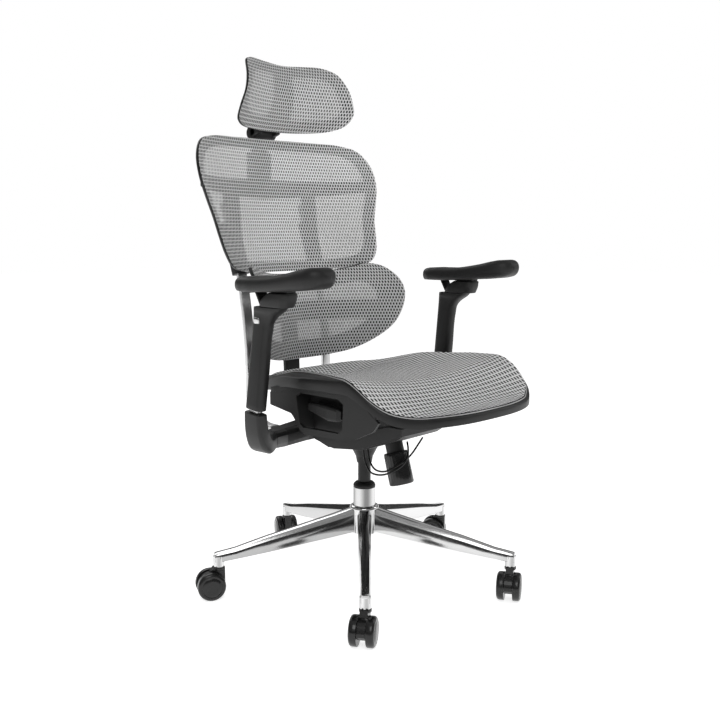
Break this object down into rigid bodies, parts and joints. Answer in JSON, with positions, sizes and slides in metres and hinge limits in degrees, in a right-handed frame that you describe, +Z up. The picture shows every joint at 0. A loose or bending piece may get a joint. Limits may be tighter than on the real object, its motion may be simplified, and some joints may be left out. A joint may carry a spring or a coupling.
{
  "type": "swivel office chair",
  "caption": "High-back swivel office chair with woven seat, split back, headrest, adjustable arms, synchronous tilt and a star base on twin-wheel castors.",
  "frame": {"origin": "on the floor under the middle of the overall box", "axes": "+Z up, the sitter faces -Y, the sitter's right is -X"},
  "size_m": [0.685, 0.7142, 1.1444],
  "materials": {
    "polished_aluminium": "polished mirror finish",
    "chromed_steel": "chromed",
    "steel": "plain",
    "black_casting": "black powder coat",
    "castor_nylon": "semi-gloss black",
    "pad_foam": "fine-grained black skin over foam",
    "grey_mesh": "light grey woven mesh",
    "black_plastic": "satin black"
  },
  "bodies": {
    "base": {"star_base": "polished_aluminium", "gas_cylinder": "chromed_steel", "cylinder_collar": "black_plastic"},
    "castor_1": {"castor_hood_1": "castor_nylon", "castor_stem_1": "steel"},
    "wheel_left_1": {"castor_wheel_left_1": "castor_nylon"},
    "wheel_right_1": {"castor_wheel_right_1": "castor_nylon"},
    "castor_2": {"castor_hood_2": "castor_nylon", "castor_stem_2": "steel"},
    "wheel_left_2": {"castor_wheel_left_2": "castor_nylon"},
    "wheel_right_2": {"castor_wheel_right_2": "castor_nylon"},
    "castor_3": {"castor_hood_3": "castor_nylon", "castor_stem_3": "steel"},
    "wheel_left_3": {"castor_wheel_left_3": "castor_nylon"},
    "wheel_right_3": {"castor_wheel_right_3": "castor_nylon"},
    "castor_4": {"castor_hood_4": "castor_nylon", "castor_stem_4": "steel"},
    "wheel_left_4": {"castor_wheel_left_4": "castor_nylon"},
    "wheel_right_4": {"castor_wheel_right_4": "castor_nylon"},
    "castor_5": {"castor_hood_5": "castor_nylon", "castor_stem_5": "steel"},
    "wheel_left_5": {"castor_wheel_left_5": "castor_nylon"},
    "wheel_right_5": {"castor_wheel_right_5": "castor_nylon"},
    "lift": {"gas_piston": "black_casting"},
    "mechanism": {"mechanism_housing": "black_casting", "mechanism_cover": "black_plastic", "control_cable_front": "black_plastic", "control_cable_rear": "black_plastic"},
    "tension_knob": {"tension_knob": "black_plastic"},
    "seat_carrier": {"seat_carriage": "steel"},
    "seat": {"seat_shell": "black_plastic", "seat_rim": "black_plastic", "seat_mesh": "grey_mesh"},
    "seat_lever_right": {"seat_lever_right": "black_plastic"},
    "seat_lever_left": {"seat_lever_left": "black_plastic"},
    "back": {"recline_axle": "steel", "back_yoke": "black_casting", "upright_left": "polished_aluminium", "upright_right": "polished_aluminium", "spine": "black_plastic", "arm_elbow_left": "black_plastic", "arm_elbow_right": "black_plastic", "arm_post_left": "polished_aluminium", "arm_post_right": "polished_aluminium"},
    "upper_back": {"back_bracket": "black_plastic", "back_frame": "black_plastic", "back_mesh": "grey_mesh"},
    "lumbar": {"lumbar_frame": "black_plastic", "lumbar_mesh": "grey_mesh"},
    "headrest_post": {"headrest_post": "black_plastic"},
    "headrest": {"headrest_frame": "black_plastic", "headrest_mesh": "grey_mesh"},
    "arm_sleeve_left": {"arm_sleeve_left": "black_plastic"},
    "arm_trigger_left": {"arm_trigger_left": "polished_aluminium"},
    "pad_carrier_left": {"pad_carrier_left": "black_plastic"},
    "arm_pad_left": {"arm_pad_left": "pad_foam"},
    "arm_sleeve_right": {"arm_sleeve_right": "black_plastic"},
    "arm_trigger_right": {"arm_trigger_right": "polished_aluminium"},
    "pad_carrier_right": {"pad_carrier_right": "black_plastic"},
    "arm_pad_right": {"arm_pad_right": "pad_foam"}
  },
  "joints": [
    {"name": "castor_swivel_1", "type": "hinge", "parent": "base", "child": "castor_1", "pos_m": [-0.23979, -0.23859, 0.063], "axis": [0, 0, 1], "continuous": true},
    {"name": "wheel_spin_left_1", "type": "hinge", "parent": "castor_1", "child": "wheel_left_1", "pos_m": [-0.25044, -0.25567, 0.02974], "axis": [0.5225, -0.8526, 0], "continuous": true},
    {"name": "wheel_spin_right_1", "type": "hinge", "parent": "castor_1", "child": "wheel_right_1", "pos_m": [-0.25984, -0.24032, 0.02974], "axis": [0.5225, -0.8526, 0], "continuous": true},
    {"name": "castor_swivel_2", "type": "hinge", "parent": "base", "child": "castor_2", "pos_m": [0.13611, -0.3069, 0.063], "axis": [0, 0, 1], "continuous": true},
    {"name": "wheel_spin_left_2", "type": "hinge", "parent": "castor_2", "child": "wheel_left_2", "pos_m": [0.12461, -0.32342, 0.02974], "axis": [0.4787, -0.878, 0], "continuous": true},
    {"name": "wheel_spin_right_2", "type": "hinge", "parent": "castor_2", "child": "wheel_right_2", "pos_m": [0.116, -0.30762, 0.02974], "axis": [0.4787, -0.878, 0], "continuous": true},
    {"name": "castor_swivel_3", "type": "hinge", "parent": "base", "child": "castor_3", "pos_m": [0.31724, 0.0295, 0.063], "axis": [0, 0, 1], "continuous": true},
    {"name": "wheel_spin_left_3", "type": "hinge", "parent": "castor_3", "child": "wheel_left_3", "pos_m": [0.30084, 0.04116, 0.02974], "axis": [-0.8829, -0.4695, 0], "continuous": true},
    {"name": "wheel_spin_right_3", "type": "hinge", "parent": "castor_3", "child": "wheel_right_3", "pos_m": [0.31674, 0.04961, 0.02974], "axis": [-0.8829, -0.4695, 0], "continuous": true},
    {"name": "castor_swivel_4", "type": "hinge", "parent": "base", "child": "castor_4", "pos_m": [0.05328, 0.30571, 0.063], "axis": [0, 0, 1], "continuous": true},
    {"name": "wheel_spin_left_4", "type": "hinge", "parent": "castor_4", "child": "wheel_left_4", "pos_m": [0.05449, 0.3258, 0.02974], "axis": [-0.866, 0.5, 0], "continuous": true},
    {"name": "wheel_spin_right_4", "type": "hinge", "parent": "castor_4", "child": "wheel_right_4", "pos_m": [0.07007, 0.3168, 0.02974], "axis": [-0.866, 0.5, 0], "continuous": true},
    {"name": "castor_swivel_5", "type": "hinge", "parent": "base", "child": "castor_5", "pos_m": [-0.29098, 0.14003, 0.063], "axis": [0, 0, 1], "continuous": true},
    {"name": "wheel_spin_left_5", "type": "hinge", "parent": "castor_5", "child": "wheel_left_5", "pos_m": [-0.3111, 0.14067, 0.02974], "axis": [-0.4756, -0.8796, 0], "continuous": true},
    {"name": "wheel_spin_right_5", "type": "hinge", "parent": "castor_5", "child": "wheel_right_5", "pos_m": [-0.30254, 0.15651, 0.02974], "axis": [-0.4756, -0.8796, 0], "continuous": true},
    {"name": "height_lift", "type": "slide", "parent": "base", "child": "lift", "axis": [0, 0, 1], "range_m": [-0.035, 0.045]},
    {"name": "seat_swivel", "type": "hinge", "parent": "lift", "child": "mechanism", "pos_m": [-0.00483, -0.01405, 0.303], "axis": [0, 0, 1], "continuous": true},
    {"name": "tension_knob_turn", "type": "hinge", "parent": "mechanism", "child": "tension_knob", "pos_m": [-0.00483, -0.10205, 0.316], "axis": [0, -0.2756, -0.9613], "range_deg": [-720, 720]},
    {"name": "seat_tilt", "type": "hinge", "parent": "mechanism", "child": "seat_carrier", "pos_m": [-0.00483, -0.11905, 0.368], "axis": [-1, 0, 0], "range_deg": [0, 7.5]},
    {"name": "seat_depth", "type": "slide", "parent": "seat_carrier", "child": "seat", "axis": [0, -1, 0], "range_m": [0, 0.05]},
    {"name": "lever_lift_right", "type": "hinge", "parent": "seat", "child": "seat_lever_right", "pos_m": [-0.20983, -0.07605, 0.429], "axis": [-1, 0, 0], "range_deg": [0, 10], "stiffness_Nm_per_rad": 2, "springref_deg": -8.59},
    {"name": "lever_lift_left", "type": "hinge", "parent": "seat", "child": "seat_lever_left", "pos_m": [0.20017, -0.07605, 0.429], "axis": [-1, 0, 0], "range_deg": [0, 10], "stiffness_Nm_per_rad": 2, "springref_deg": -8.59},
    {"name": "back_recline", "type": "hinge", "parent": "mechanism", "child": "back", "pos_m": [-0.00483, 0.04595, 0.349], "axis": [-1, 0, 0], "range_deg": [0, 20], "stiffness_Nm_per_rad": 90, "springref_deg": -34.38},
    {"name": "upper_back_height", "type": "slide", "parent": "back", "child": "upper_back", "axis": [0, 0.3173, 0.9483], "range_m": [0, 0.04]},
    {"name": "lumbar_pitch", "type": "hinge", "parent": "back", "child": "lumbar", "pos_m": [-0.00483, 0.22595, 0.587], "axis": [1, 0, 0], "range_deg": [-4, 4]},
    {"name": "headrest_height", "type": "slide", "parent": "upper_back", "child": "headrest_post", "axis": [0, 0, 1], "range_m": [0, 0.05]},
    {"name": "headrest_tilt", "type": "hinge", "parent": "headrest_post", "child": "headrest", "pos_m": [-0.00483, 0.31595, 0.995], "axis": [1, 0, 0], "range_deg": [-20, 15]},
    {"name": "arm_height_left", "type": "slide", "parent": "back", "child": "arm_sleeve_left", "axis": [-0.0298, -0.1191, 0.9924], "range_m": [0, 0.08]},
    {"name": "arm_trigger_press_left", "type": "slide", "parent": "arm_sleeve_left", "child": "arm_trigger_left", "axis": [-1, 0, 0], "range_m": [0, 0.0025], "stiffness_N_per_m": 400, "springref_m": -0.0025},
    {"name": "pad_swivel_left", "type": "hinge", "parent": "arm_sleeve_left", "child": "pad_carrier_left", "pos_m": [0.27902, -0.04405, 0.628], "axis": [0, 0, 1], "range_deg": [-20, 20]},
    {"name": "pad_slide_left", "type": "slide", "parent": "pad_carrier_left", "child": "arm_pad_left", "axis": [0, -1, 0], "range_m": [-0.03, 0.03]},
    {"name": "arm_height_right", "type": "slide", "parent": "back", "child": "arm_sleeve_right", "axis": [0.0298, -0.1191, 0.9924], "range_m": [0, 0.08]},
    {"name": "arm_trigger_press_right", "type": "slide", "parent": "arm_sleeve_right", "child": "arm_trigger_right", "axis": [1, 0, 0], "range_m": [0, 0.0025], "stiffness_N_per_m": 400, "springref_m": -0.0025},
    {"name": "pad_swivel_right", "type": "hinge", "parent": "arm_sleeve_right", "child": "pad_carrier_right", "pos_m": [-0.28868, -0.04405, 0.628], "axis": [0, 0, -1], "range_deg": [-20, 20]},
    {"name": "pad_slide_right", "type": "slide", "parent": "pad_carrier_right", "child": "arm_pad_right", "axis": [0, -1, 0], "range_m": [-0.03, 0.03]}
  ],
  "couplings": [
    {"joint": "seat_tilt", "follows": "back_recline", "ratio": 0.35}
  ]
}
